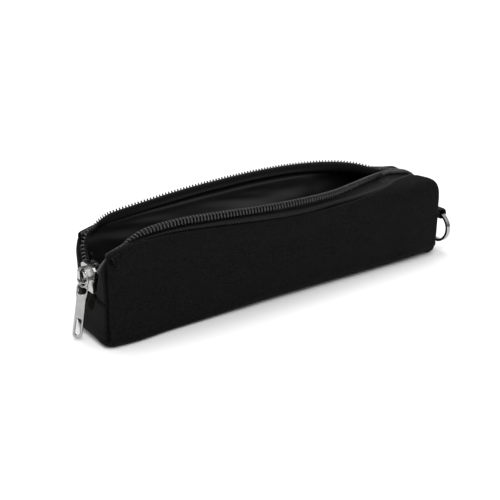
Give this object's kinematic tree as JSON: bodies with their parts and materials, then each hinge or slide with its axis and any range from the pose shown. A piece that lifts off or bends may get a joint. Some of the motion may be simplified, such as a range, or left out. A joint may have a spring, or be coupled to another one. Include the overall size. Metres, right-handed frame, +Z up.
{
  "type": "pencil case",
  "caption": "Long soft box-shaped neoprene pencil case with a coil zip along the top and down both ends, shown unzipped, with a metal pull tab and a split ring on a webbing loop.",
  "frame": {"origin": "centre of the flat underside", "axes": "+X along the case towards the split ring, +Y to the back, +Z up out of the mouth"},
  "size_m": [0.2388, 0.0486, 0.0603],
  "materials": {
    "neoprene": "matte, fine knit over foam",
    "lining_twill": "satin twill",
    "zip_tape": "woven, matte",
    "zip_coil": "satin nylon",
    "nickel": "polished nickel plate",
    "webbing": "ribbed webbing"
  },
  "bodies": {
    "root": {"outer_shell": "neoprene", "lining": "lining_twill", "left_end_binding": "webbing", "right_end_binding": "webbing", "left_front_corner_binding": "webbing", "left_back_corner_binding": "webbing", "right_front_corner_binding": "webbing", "right_back_corner_binding": "webbing"},
    "front_lip": {"front_lip_panel": "neoprene", "front_lip_lining": "lining_twill", "front_zip_tape": "zip_tape", "front_zip_coil": "zip_coil"},
    "back_lip": {"back_lip_panel": "neoprene", "back_lip_lining": "lining_twill", "back_zip_tape": "zip_tape", "back_zip_coil": "zip_coil"},
    "slider": {"slider_body": "nickel", "slider_bridge": "nickel"},
    "pull_link": {"pull_link": "nickel"},
    "pull_tab": {"pull_tab": "nickel"},
    "ring_tab": {"ring_tab_loop": "webbing"},
    "split_ring": {"split_ring": "nickel"}
  },
  "joints": [
    {"name": "front_lip_flex", "type": "hinge", "parent": "root", "child": "front_lip", "pos_m": [-0.014, -0.01975, 0.028], "axis": [-1, 0, 0], "range_deg": [-10, 43], "stiffness_Nm_per_rad": 0.05, "deforming": ["front_zip_tape", "front_zip_coil"]},
    {"name": "back_lip_flex", "type": "hinge", "parent": "root", "child": "back_lip", "pos_m": [-0.014, 0.01975, 0.028], "axis": [1, 0, 0], "range_deg": [-10, 42], "stiffness_Nm_per_rad": 0.05, "deforming": ["back_zip_tape", "back_zip_coil"]},
    {"name": "zip_travel", "type": "hinge", "parent": "root", "child": "slider", "pos_m": [-0.087, 0, 0.03], "axis": [0, 1, 0], "range_deg": [0, 90]},
    {"name": "link_swing", "type": "hinge", "parent": "slider", "child": "pull_link", "pos_m": [-0.1123, 0, 0.0344], "axis": [-0.2079, 0.9781, 0], "range_deg": [0, 120]},
    {"name": "tab_swing", "type": "hinge", "parent": "pull_link", "child": "pull_tab", "pos_m": [-0.11325, -0.0002, 0.02646], "axis": [-0.2079, 0.9781, 0], "range_deg": [0, 70]},
    {"name": "ring_tab_flex", "type": "hinge", "parent": "root", "child": "ring_tab", "pos_m": [0.1105, -0.015, 0.0273], "axis": [0, -1, 0], "range_deg": [-4, 25], "stiffness_Nm_per_rad": 0.01},
    {"name": "split_ring_swing", "type": "hinge", "parent": "ring_tab", "child": "split_ring", "pos_m": [0.115, -0.015, 0.0238], "axis": [0, -1, 0], "range_deg": [-4, 100]}
  ]
}
